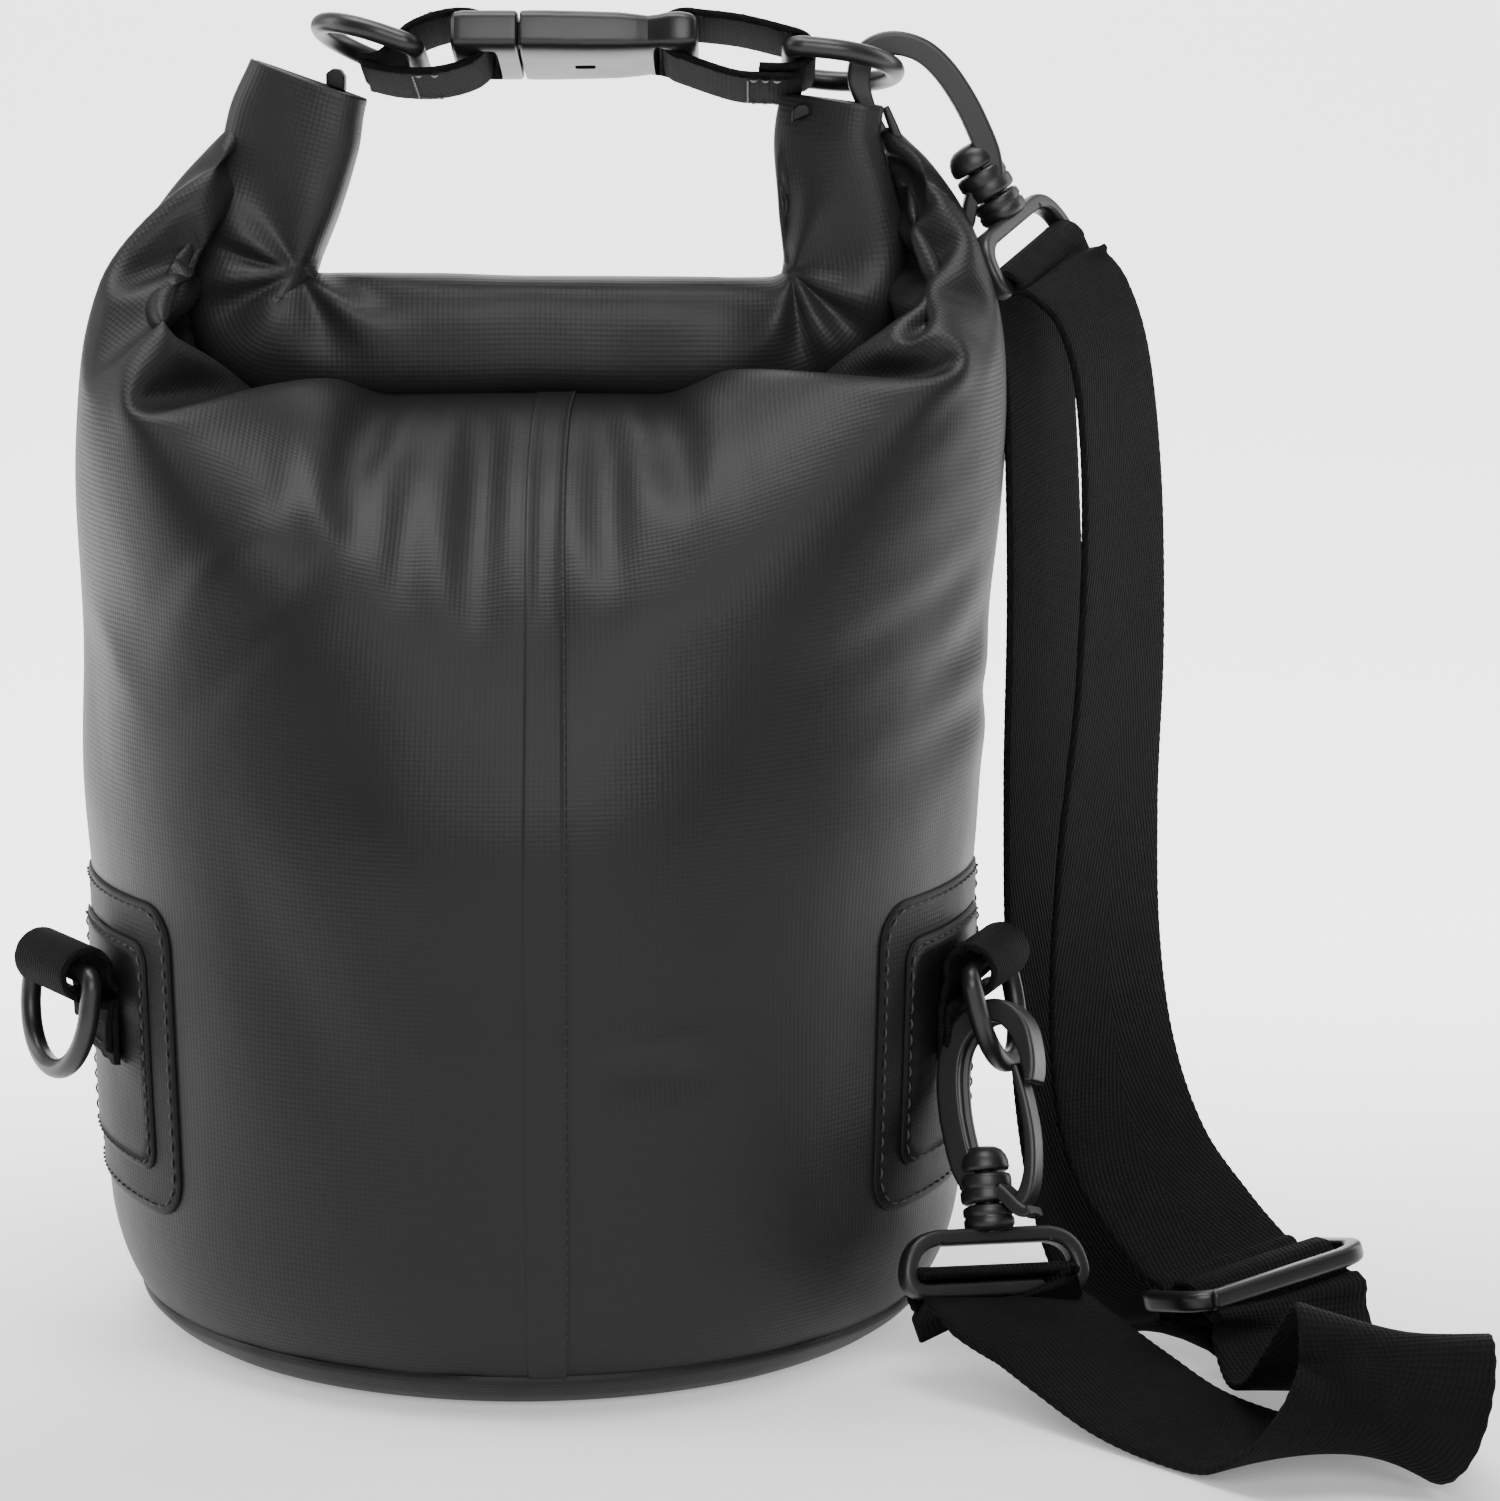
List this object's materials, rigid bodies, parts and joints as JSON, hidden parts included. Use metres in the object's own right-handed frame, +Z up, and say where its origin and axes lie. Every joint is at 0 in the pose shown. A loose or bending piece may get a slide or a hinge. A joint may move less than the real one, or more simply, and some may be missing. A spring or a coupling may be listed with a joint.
{
  "type": "rope storage bag",
  "caption": "Roll-top rope storage bag with a buckled carry handle and a clip-on shoulder strap.",
  "frame": {"origin": "centre of the round base on the floor", "axes": "+Z up, -Y towards the front with the lapped seam, +X towards the side that carries the shoulder strap"},
  "size_m": [0.3044, 0.2433, 0.2868],
  "materials": {
    "tarpaulin": "satin",
    "handle_webbing": "matte",
    "strap_webbing": "matte",
    "buckle_plastic": "satin",
    "ring_plastic": "satin",
    "hook_plastic": "satin"
  },
  "bodies": {
    "bag": {"base_disc": "tarpaulin", "base_hem": "tarpaulin", "bag_shell": "tarpaulin", "front_seam": "tarpaulin", "roll_top": "tarpaulin", "ear_right": "tarpaulin", "lip_strip_right": "tarpaulin", "handle_web_right": "handle_webbing", "buckle_female": "buckle_plastic", "patch_left_outer": "tarpaulin", "patch_left_inner": "tarpaulin", "patch_right_outer": "tarpaulin", "patch_right_inner": "tarpaulin", "anchor_left": "handle_webbing", "anchor_right": "handle_webbing", "swivel_upper": "hook_plastic", "swivel_lower": "hook_plastic", "strap_eye_upper": "strap_webbing", "strap_run_front": "strap_webbing", "strap_run_rear": "strap_webbing", "strap_floor_loop": "strap_webbing", "strap_eye_lower": "strap_webbing", "slider": "ring_plastic"},
    "handle_left": {"buckle_male": "buckle_plastic", "handle_web_left": "handle_webbing"},
    "prong_f": {"prong_front": "buckle_plastic"},
    "prong_r": {"prong_rear": "buckle_plastic"},
    "ear_l": {"ear_left": "tarpaulin", "lip_strip_left": "tarpaulin"},
    "ring_ul": {"ring_upper_left": "ring_plastic"},
    "ring_ur": {"ring_upper_right": "ring_plastic"},
    "ring_ll": {"ring_lower_left": "ring_plastic"},
    "ring_lr": {"ring_lower_right": "ring_plastic"},
    "hook_u": {"hook_upper": "hook_plastic"},
    "gate_u": {"gate_upper": "hook_plastic"},
    "hook_l": {"hook_lower": "hook_plastic"},
    "gate_l": {"gate_lower": "hook_plastic"}
  },
  "joints": [
    {"name": "buckle_release", "type": "slide", "parent": "bag", "child": "handle_left", "axis": [-1, 0, 0], "range_m": [0, 0.026]},
    {"name": "left_ear_lean", "type": "hinge", "parent": "bag", "child": "ear_l", "pos_m": [-0.06, 0, 0.226], "axis": [0, -1, 0], "range_deg": [0, 34]},
    {"name": "front_prong_press", "type": "hinge", "parent": "handle_left", "child": "prong_f", "pos_m": [-0.0012, -0.00893, 0.28073], "axis": [0, 0.2419, 0.9703], "range_deg": [0, 6], "stiffness_Nm_per_rad": 0.4},
    {"name": "rear_prong_press", "type": "hinge", "parent": "handle_left", "child": "prong_r", "pos_m": [-0.0012, 0.00893, 0.27627], "axis": [0, -0.2419, -0.9703], "range_deg": [0, 6], "stiffness_Nm_per_rad": 0.4},
    {"name": "upper_left_ring_turn", "type": "hinge", "parent": "handle_left", "child": "ring_ul", "pos_m": [-0.0235, -0.00082, 0.2752], "axis": [0, 0.9703, -0.2419], "range_deg": [-3, 80]},
    {"name": "upper_right_ring_turn", "type": "hinge", "parent": "bag", "child": "ring_ur", "pos_m": [0.057, -0.00082, 0.2752], "axis": [0, 0.9703, -0.2419], "range_deg": [-1, 3]},
    {"name": "lower_left_ring_turn", "type": "hinge", "parent": "bag", "child": "ring_ll", "pos_m": [-0.09921, -0.04008, 0.0844], "axis": [-0.5446, 0.8387, 0], "range_deg": [-12, 90]},
    {"name": "lower_right_ring_turn", "type": "hinge", "parent": "bag", "child": "ring_lr", "pos_m": [0.09886, -0.03598, 0.0844], "axis": [-0.2924, -0.9563, 0], "range_deg": [-1, 1]},
    {"name": "upper_hook_swivel", "type": "hinge", "parent": "bag", "child": "hook_u", "pos_m": [0.099, 0, 0.2493], "axis": [-0.527, 0, 0.8499], "range_deg": [-8, 8]},
    {"name": "upper_gate_press", "type": "hinge", "parent": "hook_u", "child": "gate_u", "pos_m": [0.09513, 0, 0.24149], "axis": [0, 1, 0], "range_deg": [0, 15], "stiffness_Nm_per_rad": 0.5},
    {"name": "lower_hook_swivel", "type": "hinge", "parent": "bag", "child": "hook_l", "pos_m": [0.0982, -0.0554, 0.0392], "axis": [-0.0868, 0.376, 0.9225], "range_deg": [-3, 3]},
    {"name": "lower_gate_press", "type": "hinge", "parent": "hook_l", "child": "gate_l", "pos_m": [0.10535, -0.05966, 0.03662], "axis": [-0.4001, -0.8612, 0.3134], "range_deg": [0, 4], "stiffness_Nm_per_rad": 0.5}
  ],
  "couplings": [
    {"joint": "left_ear_lean", "follows": "buckle_release", "rad_per_m": 22.15}
  ]
}
